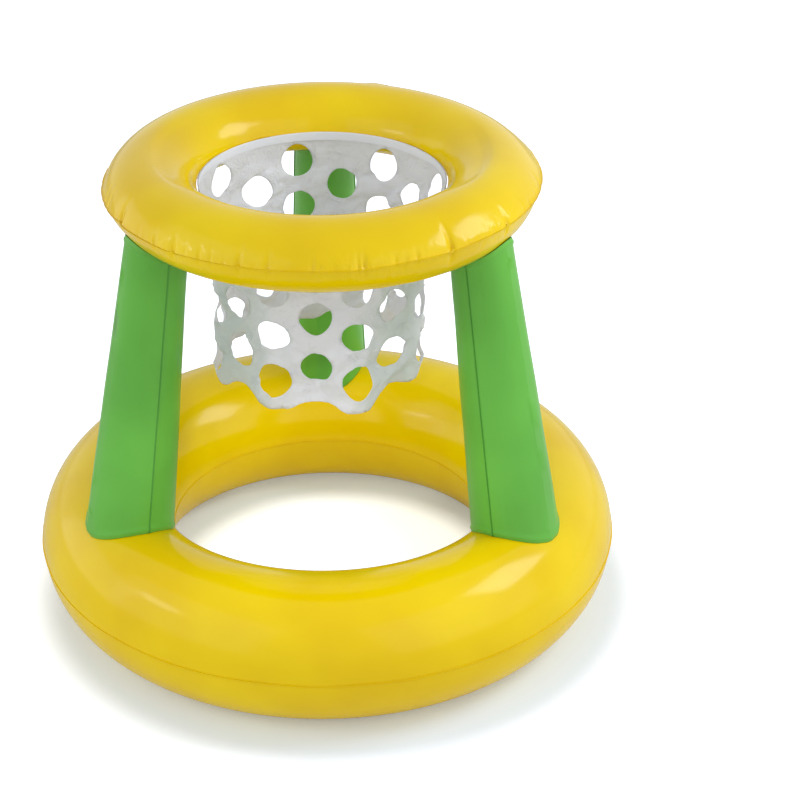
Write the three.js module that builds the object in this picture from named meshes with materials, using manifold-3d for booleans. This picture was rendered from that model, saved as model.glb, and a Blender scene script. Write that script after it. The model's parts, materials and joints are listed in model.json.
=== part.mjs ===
// Inflatable poolside basketball hoop: a fat floating base ring, three leaning legs, a smaller top ring
// and a perforated net, all of thin vinyl sheet welded along its edges.
// Millimetres, Z up. The origin is on the floor, at the centre of the base ring.
import * as THREE from 'three';
import { mergeVertices } from 'three/addons/utils/BufferGeometryUtils.js';
import Module from 'manifold-3d';

const wasm = await Module();
wasm.setup();

// Vinyl sheet and its welds
const vinyl = 0.3; // thickness of the inflated skins
const weldGap = 0.3; // space left between two sheets that are welded face to face
const overrun = 10; // how far a cutter runs past what it cuts

// Base ring, which floats or stands on the ground
const baseAcross = 670; // over the outer seam lip
const baseTubeWidth = 152;
const baseTubeHeight = 162;
const baseCrown = 30; // width of the flat bands at the tube's top and bottom
const baseLip = 2; // how far the welded edges stand out, at the outer and the inner seam
const baseSeamAngle = 2; // degrees; the larger, the sharper the edge where the two sheets meet

// Top ring, which is the rim of the hoop
const hoopHeight = 550; // floor to the crown of the top ring
const topAcross = 477;
const topTubeWidth = 98.5;
const topTubeHeight = 76;
const topCrown = 20;
const topLip = 2;
const topSeamAngle = 16;

// Legs
const footWidth = 98; // across the leg where it meets the base ring
const headWidth = 69; // across the leg where it meets the top ring
const footInset = 11; // the foot's centre, inside the base tube's centre circle
const headOutset = 11; // the head's centre, outside the top tube's centre circle
const legLip = 1.5; // width of the two welded edges that run up each leg
const legHem = 7; // sheet turned in at each end, where the leg is welded to a ring
const airPort = 24; // hole under each foot, through which the base ring fills the leg
const legAngles = { rear: 92.4, left: 210, right: 330 }; // degrees about Z from +X; not quite even

// Net and the collar that it hangs from
const netVinyl = 0.4;
const collarThickness = 0.8;
const collarHeight = 9.5;
const collarRise = 1; // how far the collar stands above the top ring's seam
const netHangWidth = 236; // across the net where it hangs straight
const netWaistDepth = 110; // from the collar down to where the net hangs straight
const foldDepth = 5; // how far the hanging net folds in and out, at its hem
const netLength = 222; // from the net's top to the mean height of its scalloped lower edge
const scallop = 9.5; // how far the lower edge rises and falls
const holeWidth = 36;
const holeRowPitch = 27.5; // also from the net's top to the first row of holes
const holeRows = 7;
const holeColumns = 16;
const firstColumnAngle = 18; // degrees about Z from +X

// Valves, one for the base ring and legs and one for the top ring
const flangeWidth = 20;
const flangeThickness = 1;
const sleeveLength = 3.6; // from the skin's inner face to the end of the guide inside
const stemWidth = 9.5;
const stemBore = 6.8;
const stemLength = 16;
const stemRise = 1.6; // how far the rim shows when the valve is pushed in
const stemClearance = 0.3;
const stopWidth = 13;
const stopThickness = 1.5;
const lugWidth = 4;
const lugThickness = 0.8;
const hingeReach = 8; // from the valve's axis to the strap's hinge
const capWidth = 11;
const capThickness = 1.2;
const strapWidth = 3.4;
const spigotWidth = 6;
const spigotTipWidth = 4.4;
const spigotLength = 4;
const flapWidth = 8.8;
const flapThickness = 0.4;
const flapReach = 5; // from the valve's axis to the flap's hinge
const valveFacets = { base: 12, top: 7 }; // which facet of the ring, counted from +X, holds each valve

// Facets and vertex merging
const ringSegments = 36;
const quarterSteps = 3; // facets of the tube's section between a seam and a crown
const legSides = 16;
const holeSides = 8;
const rimPoints = 5; // along the net's upper and lower edges, from one hole of a row to the next
const valveSides = 12;
const mergeShare = 1e-6; // vertices nearer than this share of the hoop's height are one

// Solids and meshes

function solidOf(geometry) {
  const bare = geometry.index ? geometry.toNonIndexed() : geometry.clone();
  bare.deleteAttribute('normal');
  bare.deleteAttribute('uv');
  const merged = mergeVertices(bare, mergeShare * hoopHeight);
  const vertProperties = merged.attributes.position.array;
  const triVerts = new Uint32Array(merged.index.array);
  return new wasm.Manifold(new wasm.Mesh({ numProp: 3, vertProperties, triVerts }));
}

function meshOf(name, material, solid) {
  const { vertProperties, triVerts, numProp } = solid.getMesh();
  const indexed = new THREE.BufferGeometry();
  indexed.setAttribute('position', new THREE.BufferAttribute(vertProperties, numProp));
  indexed.setIndex(new THREE.BufferAttribute(triVerts, 1));
  const geometry = indexed.toNonIndexed();
  geometry.computeVertexNormals();
  const mesh = new THREE.Mesh(geometry, material);
  mesh.name = name;
  return mesh;
}

// A profile of [radius, height] points, turned about Z.
function turned(profile, segments) {
  const points = profile.map(([radius, height]) => new THREE.Vector2(radius, height));
  return new THREE.LatheGeometry(points, segments).rotateX(Math.PI / 2);
}

// A profile that closes on itself, turned into a ring.
const ringSolid = (profile, segments) => solidOf(turned([...profile, profile[0]], segments));

// A box from one corner to the other.
function boxBetween(low, high) {
  const size = high.map((value, i) => value - low[i]);
  const centre = high.map((value, i) => (value + low[i]) / 2);
  return new THREE.BoxGeometry(...size).translate(...centre);
}

// A straight round bar along Z.
function bar(width, low, high, sides) {
  const geometry = new THREE.CylinderGeometry(width / 2, width / 2, high - low, sides);
  return geometry.rotateX(Math.PI / 2).translate(0, 0, (low + high) / 2);
}

// The nearest that a flat-sided ring of this radius comes to its axis.
const apothem = (radius, segments) => radius * Math.cos(Math.PI / segments);

// Rings

const baseRing = {
  centre: baseAcross / 2 - baseLip - baseTubeWidth / 2,
  middle: baseTubeHeight / 2,
  tubeWidth: baseTubeWidth,
  tubeHeight: baseTubeHeight,
  crown: baseCrown,
  lip: baseLip,
  seamAngle: THREE.MathUtils.degToRad(baseSeamAngle),
};

const topRing = {
  centre: topAcross / 2 - topLip - topTubeWidth / 2,
  middle: hoopHeight - topTubeHeight / 2,
  tubeWidth: topTubeWidth,
  tubeHeight: topTubeHeight,
  crown: topCrown,
  lip: topLip,
  seamAngle: THREE.MathUtils.degToRad(topSeamAngle),
};

// Half of the tube's section as [across, up] offsets, from the outer seam over the crown to the inner one.
// It is an oval arc that starts at the seam angle and is cut off flat at the crown.
function halfSection(ring, grow) {
  const { seamAngle } = ring;
  const across = (ring.tubeWidth / 2 + grow) / Math.cos(seamAngle);
  const crownAngle = Math.acos(ring.crown / 2 / across);
  const up = (ring.tubeHeight / 2 + grow) / (Math.sin(crownAngle) - Math.sin(seamAngle));
  const quarter = [];
  for (let i = 0; i <= quarterSteps; i++) {
    const angle = THREE.MathUtils.lerp(seamAngle, crownAngle, i / quarterSteps);
    quarter.push([across * Math.cos(angle), up * (Math.sin(angle) - Math.sin(seamAngle))]);
  }
  const mirrored = quarter.map(([x, y]) => [-x, y]).reverse();
  return [...quarter, ...mirrored];
}

// The upper (side 1) or lower (side -1) sheet of a ring, with its two weld lips.
function ringSkin(ring, side) {
  const face = weldGap / 2;
  const back = face + vinyl;
  const outside = halfSection(ring, 0);
  const inside = halfSection(ring, -vinyl);
  const reach = ring.tubeWidth / 2;
  const section = [
    [reach + ring.lip, face],
    [reach + ring.lip, back],
    [reach, back],
    ...outside.slice(1, -1),
    [-reach, back],
    [-reach - ring.lip, back],
    [-reach - ring.lip, face],
    [vinyl - reach, face],
    ...inside.slice(1, -1).reverse(),
    [reach - vinyl, face],
  ];
  const profile = section.map(([x, y]) => [ring.centre + x, ring.middle + side * y]);
  return ringSolid(side > 0 ? profile : profile.reverse(), ringSegments);
}

// The space that a whole ring fills, grown by a margin.
function ringEnvelope(ring, grow) {
  const half = halfSection(ring, grow);
  const lower = half.slice(1, -1).map(([x, y]) => [x, -y]).reverse();
  const profile = [...half, ...lower].map(([x, y]) => [ring.centre + x, ring.middle + y]);
  return ringSolid(profile, ringSegments);
}

// Legs, built on the +X side and turned into place.

const footLevel = baseTubeHeight;
const headLevel = hoopHeight - topTubeHeight;
const footCentre = baseRing.centre - footInset;
const headCentre = topRing.centre + headOutset;
const legLean = (headCentre - footCentre) / (headLevel - footLevel);
const legTaper = (headWidth - footWidth) / (headLevel - footLevel);

// Shears an upright shape that stands on the Z axis, so that it follows the leg's own line.
function leant(geometry) {
  const start = footCentre - legLean * footLevel;
  const shear = new THREE.Matrix4().makeShear(0, 0, 0, 0, legLean, 0);
  return geometry.applyMatrix4(shear.setPosition(start, 0, 0));
}

// The leg's tapered body from inside the base ring to inside the top ring.
function legCone(grow) {
  const low = baseRing.middle;
  const high = topRing.middle;
  const radiusAt = (level) => (footWidth + legTaper * (level - footLevel)) / 2 + grow;
  const cone = new THREE.CylinderGeometry(radiusAt(high), radiusAt(low), high - low, legSides);
  return solidOf(leant(cone.rotateX(Math.PI / 2).translate(0, 0, (low + high) / 2)));
}

// A leaning plate across the leg, between two offsets from its middle.
function legPlate(from, to) {
  const half = footWidth + overrun;
  return solidOf(leant(boxBetween([from, -half, -overrun], [to, half, hoopHeight + overrun])));
}

// Both sheets of a leg: a tube, its weld lips and the hems that lie on the two rings. The leg is drawn on
// the +X side, so the rings' facets are turned back by the leg's angle before it is cut to them.
function legSheets(degrees) {
  const envelope = (ring, grow) => ringEnvelope(ring, grow).rotate([0, 0, -degrees]);
  const body = legCone(0);
  const hollow = legCone(-vinyl);
  const lipHalf = weldGap / 2 + vinyl;
  const lips = legCone(legLip).intersect(legPlate(-lipHalf, lipHalf));
  const hemRing = body.subtract(legCone(-legHem));
  let sheets = body.add(lips).subtract(hollow);
  for (const ring of [baseRing, topRing]) {
    sheets = sheets.add(hemRing.intersect(envelope(ring, weldGap + vinyl)));
  }
  for (const ring of [baseRing, topRing]) {
    sheets = sheets.subtract(envelope(ring, weldGap));
  }
  return sheets;
}

// Net. Its points are [azimuth, level] pairs on a lattice of columns and rows: a hole has its centre where
// column and row add up to an even number, and its corners on the four lattice points around it.

const lipRadius = topRing.centre - topTubeWidth / 2 - topLip;
const collarRadius = apothem(lipRadius, ringSegments) - weldGap; // outer face of the collar
const rimSegments = (holeColumns / 2) * (rimPoints - 1);
const netTopRadius = apothem(collarRadius - collarThickness, rimSegments) - weldGap;
const netTop = topRing.middle + collarRise;
const hemLevel = netTop - netLength;
const firstColumn = THREE.MathUtils.degToRad(firstColumnAngle);
const azimuthOf = (column) => firstColumn + (2 * Math.PI * column) / holeColumns;
const levelOf = (row) => netTop - (row + 1) * holeRowPitch;
const waveAt = (azimuth) => Math.cos((holeColumns / 2) * (azimuth - firstColumn));

// How far the net has drawn in at a level, from 0 under the collar to 1 where it hangs straight.
function narrowingAt(level) {
  return THREE.MathUtils.smoothstep(netTop - collarHeight - level, 0, netWaistDepth);
}

const netRadiusAt = (level) => THREE.MathUtils.lerp(netTopRadius, netHangWidth / 2, narrowingAt(level));

// A point in space, on the sheet's outer face or inset from it. The folds deepen towards the hem.
function netPoint([azimuth, level], inset) {
  const depth = (netTop - level) / (netTop - hemLevel);
  const fold = foldDepth * narrowingAt(level) * depth * waveAt(azimuth);
  const reach = netRadiusAt(level) + fold - inset;
  return [reach * Math.cos(azimuth), reach * Math.sin(azimuth), level];
}

const latticePoint = (column, row) => [azimuthOf(column), levelOf(row)];

function hemPoint(column) {
  const azimuth = azimuthOf(column);
  return [azimuth, hemLevel - scallop * waveAt(azimuth)];
}

// The corners of one hole, counter-clockwise as seen from outside.
function holeOutline(column, row) {
  const [azimuth, level] = latticePoint(column, row);
  const radius = holeWidth / 2;
  return Array.from({ length: holeSides }, (_, i) => {
    const angle = (2 * Math.PI * i) / holeSides;
    return [azimuth + (radius * Math.cos(angle)) / netRadiusAt(level), level + radius * Math.sin(angle)];
  });
}

function buildNet() {
  const positions = [];
  const put = (inset, ...points) => points.forEach((point) => positions.push(...netPoint(point, inset)));

  // A triangle of the sheet, on both of its faces.
  const patch = (a, b, c) => {
    put(0, a, b, c);
    put(netVinyl, a, c, b);
  };

  // The cut edge from a to b, with the sheet on its left as seen from outside.
  const edge = (a, b) => {
    put(0, b, a);
    put(netVinyl, a);
    put(0, b);
    put(netVinyl, a, b);
  };

  // The sheet between a lattice point and a stretch of the net's upper or lower edge.
  const fan = (centre, rim) => {
    for (let i = 0; i + 1 < rim.length; i++) {
      patch(centre, rim[i], rim[i + 1]);
      edge(rim[i], rim[i + 1]);
    }
  };

  const lastRow = holeRows - 1;
  for (let row = 0; row <= lastRow; row++) {
    for (let column = row % 2; column < holeColumns; column += 2) {
      const below = row === lastRow ? hemPoint(column) : latticePoint(column, row + 1);
      const [right, above] = [latticePoint(column + 1, row), latticePoint(column, row - 1)];
      const corners = [right, above, latticePoint(column - 1, row), below];
      const hole = holeOutline(column, row);
      const perCorner = holeSides / corners.length;
      corners.forEach((corner, i) => {
        const next = corners[(i + 1) % corners.length];
        const arc = Array.from({ length: perCorner + 1 }, (_, j) => hole[(i * perCorner + j) % holeSides]);
        const middle = arc[perCorner / 2];
        patch(corner, next, middle);
        patch(corner, middle, arc[0]);
        patch(next, arc[perCorner], middle);
        edge(middle, arc[0]);
        edge(arc[perCorner], middle);
      });
    }
  }

  const rimSteps = Array.from({ length: rimPoints }, (_, i) => (2 * i) / (rimPoints - 1) - 1);
  for (let column = 1; column < holeColumns; column += 2) {
    fan(latticePoint(column, 0), rimSteps.map((step) => latticePoint(column - step, -1)));
    fan(latticePoint(column, lastRow), rimSteps.map((step) => hemPoint(column + step)));
  }

  const geometry = new THREE.BufferGeometry();
  geometry.setAttribute('position', new THREE.Float32BufferAttribute(positions, 3));
  return solidOf(geometry);
}

// The collar has its edges where the net's top has its own.
function buildCollar() {
  const low = netTop - collarHeight;
  const inner = collarRadius - collarThickness;
  const section = [[inner, low], [collarRadius, low], [collarRadius, netTop], [inner, netTop], [inner, low]];
  return solidOf(turned(section, rimSegments).rotateZ(firstColumn));
}

// Valves, built about Z with the ring's skin at height 0 and placed on a flat facet of the ring

const rimTop = stemRise;
const stemEnd = rimTop - stemLength;
const sleeveWidth = stopWidth;

function valveFlange() {
  const top = -vinyl - weldGap;
  const bore = stemWidth / 2 + stemClearance;
  const profile = [
    [bore, -vinyl - sleeveLength],
    [sleeveWidth / 2, -vinyl - sleeveLength],
    [sleeveWidth / 2, top - flangeThickness],
    [flangeWidth / 2, top - flangeThickness],
    [flangeWidth / 2, top],
    [bore, top],
  ];
  return ringSolid(profile, valveSides);
}

function valveStem() {
  const profile = [
    [stemBore / 2, stemEnd],
    [stopWidth / 2, stemEnd],
    [stopWidth / 2, stemEnd + stopThickness],
    [stemWidth / 2, stemEnd + stopThickness],
    [stemWidth / 2, rimTop],
    [stemBore / 2, rimTop],
  ];
  const wall = (stemBore + stemWidth) / 4;
  const lug = boxBetween([-lugWidth / 2, -hingeReach, rimTop - lugThickness], [lugWidth / 2, -wall, rimTop]);
  return ringSolid(profile, valveSides).add(solidOf(lug));
}

function valvePlug() {
  const seat = rimTop + weldGap;
  const profile = [
    [0, rimTop - spigotLength],
    [spigotTipWidth / 2, rimTop - spigotLength],
    [spigotWidth / 2, seat],
    [capWidth / 2, seat],
    [capWidth / 2, seat + capThickness],
    [0, seat + capThickness],
  ];
  const cap = solidOf(turned(profile, valveSides));
  const strap = boxBetween([-strapWidth / 2, -hingeReach, seat], [strapWidth / 2, 0, seat + capThickness]);
  return cap.add(solidOf(strap));
}

function valveFlap() {
  const top = stemEnd - weldGap;
  const disc = solidOf(bar(flapWidth, top - flapThickness, top, valveSides));
  const tab = boxBetween([-strapWidth / 2, -flapReach, top - flapThickness], [strapWidth / 2, 0, top]);
  return disc.add(solidOf(tab));
}

// Where the middle of a facet of the tube's upper, outer side lies, and how far its normal tips from upright.
function valveSeat(ring, facet) {
  const [, start, end] = halfSection(ring, 0);
  const shrink = apothem(1, ringSegments);
  const run = (start[0] - end[0]) * shrink;
  return {
    azimuth: ((facet + 0.5) * 2 * Math.PI) / ringSegments,
    radius: (ring.centre + (start[0] + end[0]) / 2) * shrink,
    level: ring.middle + (start[1] + end[1]) / 2,
    tilt: Math.atan2(end[1] - start[1], run),
  };
}

// A group whose Z axis leaves the ring square to its skin. The strap's hinge lies towards its -Y.
function valveGroup(ring, facet) {
  const seat = valveSeat(ring, facet);
  const tipped = new THREE.Group();
  tipped.position.set(seat.radius, 0, seat.level);
  tipped.rotation.y = seat.tilt;
  const placed = new THREE.Group();
  placed.rotation.z = seat.azimuth;
  placed.add(tipped);
  placed.updateMatrixWorld(true);
  return { placed, tipped };
}

// Materials, as the photographed vinyl looks

const sheen = { roughness: 0.28, metalness: 0 };
const yellowVinyl = new THREE.MeshStandardMaterial({ color: 0xe6c617, ...sheen });
const greenVinyl = new THREE.MeshStandardMaterial({ color: 0x5bb548, ...sheen });
const whiteVinyl = new THREE.MeshStandardMaterial({ color: 0xe4e6e8, roughness: 0.45, metalness: 0 });
const softPvc = new THREE.MeshStandardMaterial({ color: 0xf2f2ee, roughness: 0.35, metalness: 0 });

// Assembly

const hoop = new THREE.Group();

const valves = {
  base: valveGroup(baseRing, valveFacets.base),
  top: valveGroup(topRing, valveFacets.top),
};

for (const [name, { placed, tipped }] of Object.entries(valves)) {
  tipped.add(meshOf(`${name}_valve_flange`, softPvc, valveFlange()));
  tipped.add(meshOf(`${name}_valve_stem`, softPvc, valveStem()));
  tipped.add(meshOf(`${name}_valve_plug`, softPvc, valvePlug()));
  tipped.add(meshOf(`${name}_valve_flap`, softPvc, valveFlap()));
  hoop.add(placed);
}

// The round opening that a valve's stem passes through, in the ring's own frame.
function valveOpening({ tipped }) {
  const width = stemWidth + 2 * stemClearance;
  return solidOf(bar(width, -overrun, overrun, valveSides).applyMatrix4(tipped.matrixWorld));
}

// The hole through which air reaches a leg.
function portUnder(azimuth) {
  const port = bar(airPort, baseRing.middle, baseTubeHeight + overrun, valveSides);
  return solidOf(port.translate(footCentre, 0, 0).rotateZ(azimuth));
}

let baseUpper = ringSkin(baseRing, 1).subtract(valveOpening(valves.base));

for (const [name, degrees] of Object.entries(legAngles)) {
  const azimuth = THREE.MathUtils.degToRad(degrees);
  const sheets = legSheets(degrees);
  const outerPanel = sheets.intersect(legPlate(weldGap / 2, footWidth));
  const innerPanel = sheets.intersect(legPlate(-footWidth, -weldGap / 2));
  baseUpper = baseUpper.subtract(portUnder(azimuth));
  const leg = new THREE.Group();
  leg.rotation.z = azimuth;
  leg.add(meshOf(`${name}_leg_outer_panel`, greenVinyl, outerPanel));
  leg.add(meshOf(`${name}_leg_inner_panel`, greenVinyl, innerPanel));
  hoop.add(leg);
}

hoop.add(meshOf('base_ring_upper_skin', yellowVinyl, baseUpper));
hoop.add(meshOf('base_ring_lower_skin', yellowVinyl, ringSkin(baseRing, -1)));
hoop.add(meshOf('top_ring_upper_skin', yellowVinyl, ringSkin(topRing, 1).subtract(valveOpening(valves.top))));
hoop.add(meshOf('top_ring_lower_skin', yellowVinyl, ringSkin(topRing, -1)));
hoop.add(meshOf('net_collar', whiteVinyl, buildCollar()));
hoop.add(meshOf('net', whiteVinyl, buildNet()));

export default hoop;
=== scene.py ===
# %% [markdown]
# # Dressing an inflatable pool hoop
#
# The hoop stands on a fat ring, three leaning legs carry a smaller ring, and a net with round holes hangs in
# it. Everything is thin vinyl sheet, welded along its edges and blown up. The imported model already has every
# piece at its right size and place, so it is loaded first and nothing in it is moved. The work here is to
# give each piece the smooth, slightly puckered shape and the finish that it has on the real hoop.

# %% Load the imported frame
import json
import math

import bmesh
import bpy
import numpy as np
from mathutils import Matrix, Vector, noise


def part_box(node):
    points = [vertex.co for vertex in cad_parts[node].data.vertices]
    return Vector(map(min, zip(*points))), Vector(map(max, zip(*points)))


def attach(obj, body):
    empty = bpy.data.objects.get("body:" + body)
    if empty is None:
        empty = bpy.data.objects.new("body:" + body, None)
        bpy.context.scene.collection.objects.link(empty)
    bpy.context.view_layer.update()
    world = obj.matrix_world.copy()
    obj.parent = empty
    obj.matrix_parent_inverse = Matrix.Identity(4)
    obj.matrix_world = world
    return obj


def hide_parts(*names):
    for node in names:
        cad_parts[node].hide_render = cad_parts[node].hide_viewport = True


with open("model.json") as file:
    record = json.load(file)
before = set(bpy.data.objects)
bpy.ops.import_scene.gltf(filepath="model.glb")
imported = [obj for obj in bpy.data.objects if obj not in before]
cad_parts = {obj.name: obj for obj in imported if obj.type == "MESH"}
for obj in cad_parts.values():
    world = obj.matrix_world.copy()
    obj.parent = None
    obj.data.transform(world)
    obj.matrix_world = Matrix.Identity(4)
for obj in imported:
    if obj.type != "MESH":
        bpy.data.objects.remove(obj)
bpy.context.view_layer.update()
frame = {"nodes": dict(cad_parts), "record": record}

MM = 0.001  # all shapes below are drawn in millimetres, and become metres when a piece is finished
print("nodes to dress:", len(frame["nodes"]))

# %% [markdown]
# ## The camera
#
# A product photograph is taken with a long lens from a little above. The camera's place and turn were fitted
# to the outlines of the two rings, so they are given as they came out: a place, three angles and a focal
# length in pixels for a picture 800 pixels wide. Blender wants the lens in millimetres on a 36 mm sensor.

# %% Camera
PICTURE_WIDTH = 800
FOCAL_PIXELS = 2168.5
SENSOR = 36.0
CAMERA_PLACE = (0.115, -2.1673, 1.4477)  # metres
CAMERA_ANGLES = (29.134, -0.807, 0.077)  # degrees down, to the right and clockwise


def camera_turn(pitch, yaw, roll):
    """The camera's own axes as a matrix, from degrees down, to the right and clockwise."""
    pitch, yaw, roll = (math.radians(a) for a in (pitch, yaw, roll))
    forward = Vector((math.sin(yaw) * math.cos(pitch), math.cos(yaw) * math.cos(pitch), -math.sin(pitch)))
    level = Vector((math.cos(yaw), -math.sin(yaw), 0.0))
    upright = level.cross(forward)
    right = level * math.cos(roll) + upright * math.sin(roll)
    up = upright * math.cos(roll) - level * math.sin(roll)
    return Matrix((right, up, -forward)).transposed()


lens = bpy.data.cameras.new("camera")
lens.sensor_width = SENSOR
lens.lens = FOCAL_PIXELS / PICTURE_WIDTH * SENSOR
camera = bpy.data.objects.new("camera", lens)
camera.matrix_world = Matrix.Translation(CAMERA_PLACE) @ camera_turn(*CAMERA_ANGLES).to_4x4()
bpy.context.scene.collection.objects.link(camera)
bpy.context.scene.camera = camera
print(f"lens {lens.lens:.1f} mm")

# %% [markdown]
# ## Small helpers
#
# Colours are picked as sRGB hex values, the way they read off a picture, but shaders work in linear light,
# so one function does that sum. A second one adds a shader node with its settings and its links, which keeps
# each material short enough to read.

# %% Colour and node helpers
def linear(colour):
    """An sRGB hex value such as "F2D018" as linear RGBA."""
    parts = [int(colour[i : i + 2], 16) / 255 for i in (0, 2, 4)]
    return [c / 12.92 if c <= 0.04045 else ((c + 0.055) / 1.055) ** 2.4 for c in parts] + [1.0]


def add_node(tree, kind, inputs=None, **settings):
    """Adds a shader node. Each input gets a value, or a link from another node's output."""
    made = tree.nodes.new("ShaderNode" + kind)
    for name, value in settings.items():
        setattr(made, name, value)
    for name, value in (inputs or {}).items():
        if isinstance(value, bpy.types.NodeSocket):
            tree.links.new(value, made.inputs[name])
        else:
            made.inputs[name].default_value = value
    return made


def new_material(name):
    """A material with its node tree and its Principled shader."""
    made = bpy.data.materials.new(name)
    made.use_nodes = True
    return made, made.node_tree, made.node_tree.nodes["Principled BSDF"]


print("yellow in linear light:", [round(c, 3) for c in linear("F2D018")])

# %% [markdown]
# ## Yellow vinyl
#
# The rings are calendered PVC sheet, about 0.3 mm thick and pigmented right through. Pressed between polished
# rollers it comes out glossy, so what the eye reads first is the lamps' reflections, a little wavy because
# blown-up sheet is never quite even. The pigment varies so little that two close yellows do, mixed by a wide
# noise. Along the weld the sheet was heated and pressed, and a thin darker line follows it: partly the weld's
# own tone, partly painted shade of the lip beside it. The pieces carry their distance from the weld in an
# attribute named weld_mm, and in one named gather how strongly the edge puckers there into creases too fine
# for the mesh.

# %% Vinyl sheet
VINYL_IOR, VINYL_SPECULAR = 1.53, 0.22
CLOUD_SIZE, STREAK_SIZE, GRAIN_SIZE = 130, 9, 1.2  # mm: drifting pigment, creases at a weld, rolled grain
GATHER_DEPTH, GRAIN_DEPTH = 0.8, 0.004  # mm
LINE_START, LINE_END = 0.2, 0.9  # mm from a weld, between which its dark line fades out


def per_metre(millimetres):
    """A texture scale whose features are about this many millimetres wide."""
    return 1000.0 / millimetres


def noise_texture(tree, place, size, detail):
    """A noise with features of this size in millimetres."""
    inputs = {"Vector": place, "Scale": per_metre(size), "Detail": detail}
    return add_node(tree, "TexNoise", inputs).outputs["Fac"]


def mixed(tree, share, first, second):
    """Two colours mixed, each of them linear RGBA or another node's output."""
    inputs = {"Factor": share, "A": first, "B": second}
    return add_node(tree, "Mix", inputs, data_type="RGBA").outputs["Result"]


def bumped(tree, height, depth, normal=None):
    """The normal of a surface with this height, so many millimetres deep, on top of another bump's."""
    inputs = {"Height": height, "Strength": 1.0, "Distance": depth * MM}
    if normal is not None:
        inputs["Normal"] = normal
    return add_node(tree, "Bump", inputs).outputs["Normal"]


def vinyl_sheet(name, colour, shade, weld, weld_shade_share, roughness, wave=16.0, wave_height=0.05):
    """Glossy pigmented sheet: a colour, a second shade that drifts through it, and a darker weld line, partly
    painted shade.
    """
    made, tree, shader = new_material(name)
    place = add_node(tree, "TexCoord").outputs["Object"]
    drift = noise_texture(tree, place, CLOUD_SIZE, 2.0)
    spread = add_node(tree, "MapRange", {"Value": drift, "From Min": 0.35, "From Max": 0.65})
    pigment = mixed(tree, spread.outputs["Result"], linear(colour), linear(shade))
    weld_mm = add_node(tree, "Attribute", attribute_name="weld_mm").outputs["Fac"]
    # the line along the weld: partly the weld's own tone, partly painted shade of its lip
    line = add_node(
        tree,
        "MapRange",
        {"Value": weld_mm, "From Min": LINE_START, "From Max": LINE_END, "To Min": weld_shade_share, "To Max": 0.0},
        interpolation_type="SMOOTHSTEP",
    )
    welded = mixed(tree, line.outputs["Result"], pigment, linear(weld))
    tree.links.new(welded, shader.inputs["Base Color"])
    upright = add_node(tree, "Mapping", {"Vector": place, "Scale": (1.0, 1.0, 0.1)}).outputs["Vector"]
    streaks = noise_texture(tree, upright, STREAK_SIZE, 2.0)
    valleys = add_node(tree, "MapRange", {"Value": streaks, "From Min": 0.3, "From Max": 0.55})
    gather = add_node(tree, "Attribute", attribute_name="gather").outputs["Fac"]
    gathered = add_node(tree, "Math", {0: valleys.outputs["Result"], 1: gather}, operation="MULTIPLY")
    normal = bumped(tree, gathered.outputs["Value"], GATHER_DEPTH)
    normal = bumped(tree, noise_texture(tree, place, wave, 1.0), wave_height, normal)
    normal = bumped(tree, noise_texture(tree, place, GRAIN_SIZE, 1.0), GRAIN_DEPTH, normal)
    tree.links.new(normal, shader.inputs["Normal"])
    shader.inputs["Roughness"].default_value = roughness
    shader.inputs["IOR"].default_value = VINYL_IOR
    shader.inputs["Specular IOR Level"].default_value = VINYL_SPECULAR
    return made


# the third colour is the weld line's, partly painted shade
yellow_vinyl = vinyl_sheet("calendered_yellow_vinyl", "F7D800", "EDC900", "B98D10", 0.15, 0.15)
print("made", yellow_vinyl.name)

# %% [markdown]
# ## How a ring is shaped
#
# A ring is two flat rings of sheet, welded together along their outer and inner edges. Blown up, each half
# takes an oval arc, and the two arcs meet at the welds in a slight edge, with a narrow lip of doubled sheet
# standing out. So the section is drawn once, as a closed loop of points, and Blender's spin turns it round
# the ring's axis. The points crowd together near the welds, because that is where the pleats will be.

# %% The section of a welded tube
LAP = 0.3  # half the thickness of the doubled sheet at a weld
WELD_CROWDING = 0.7  # how strongly a section's points crowd near its welds


def crowd_ends(share, strength):
    """Moves a share from 0 to 1 towards the end that it is nearer to."""
    return share - strength * math.sin(2 * math.pi * share) / (2 * math.pi)


def arc(width, height, seam_angle, steps, flat=0.0):
    """Half of a tube's section as (across, up), from weld to weld, with a crown that is flat so wide."""
    seam = math.radians(seam_angle)
    across = width / 2 / math.cos(seam)
    up = height / 2 / (math.sin(math.acos(flat / 2 / across)) - math.sin(seam))
    points = []
    for i in range(steps + 1):
        angle = seam + (math.pi - 2 * seam) * crowd_ends(i / steps, WELD_CROWDING)
        points.append((across * math.cos(angle), min(up * (math.sin(angle) - math.sin(seam)), height / 2)))
    return points


def tube_loop(width, height, seam_angle, lip, steps, flat_below=0.0):
    """The closed section of a tube of two sheets, with its weld lips, counter-clockwise."""
    reach = width / 2
    above = arc(width, height, seam_angle, steps)[1:-1]
    below = [(x, -y) for x, y in arc(width, height, seam_angle, steps, flat_below)[1:-1]]
    outer = [(reach, -LAP), (reach + lip, -LAP), (reach + lip, LAP), (reach, LAP)]
    inner = [(-x, -y) for x, y in outer]
    return outer + above + inner + below[::-1]


print("points in a section of 40 steps:", len(tube_loop(98.5, 76, 16, 2, 40)))

# %% [markdown]
# The two rings differ only in their sizes, which are the ones that the imported model was drawn with, in
# millimetres. The half width of the base ring's box in that model is printed beside them, to see that they
# agree. The tube's section is spun through a sixteenth of a turn, and that sector is doubled four times.

# %% The two rings' sizes
base_high = np.array(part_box("base_ring_upper_skin")[1]) / MM
BASE = {"width": 152.0, "height": 162.0, "seam_angle": 2.0, "lip": 1.0, "centre": 257.0, "middle": 81.0}
TOP = {"width": 98.5, "height": 76.0, "seam_angle": 16.0, "lip": 1.8, "centre": 187.25, "middle": 512.0}
DOUBLINGS = 4
print("base ring, half width over the lip:", round(float(base_high[0]), 1), "mm")


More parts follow.
